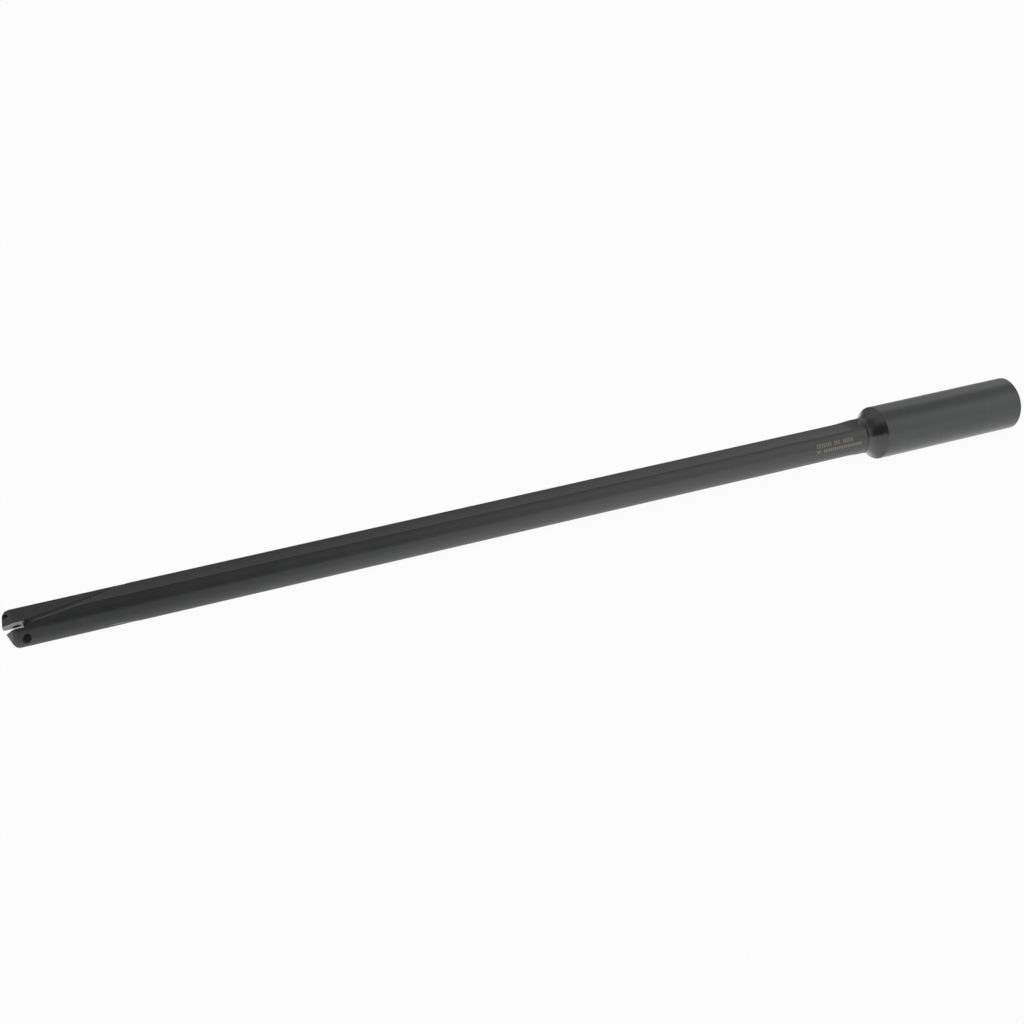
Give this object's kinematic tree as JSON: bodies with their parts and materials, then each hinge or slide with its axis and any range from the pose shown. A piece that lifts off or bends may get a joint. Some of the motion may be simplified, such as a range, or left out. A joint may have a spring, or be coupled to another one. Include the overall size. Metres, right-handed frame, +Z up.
{
  "type": "indexable spade drill holder",
  "caption": "Long straight-flute holder of an indexable spade drill in black-oxide steel, with an empty blade slot at the tip and a plain round shank.",
  "frame": {"origin": "centre of the holder's footprint, on the level it rests on", "axes": "+X from the cutting tip to the shank, seen from above, +Z up; the holder lies at its rest tilt of 0.88 degrees"},
  "size_m": [0.384, 0.019, 0.02],
  "materials": {
    "black_oxide_steel": "black oxide, smooth on the fluted body and satin turned on the shank"
  },
  "bodies": {
    "root": {"holder": "black_oxide_steel"}
  },
  "joints": []
}
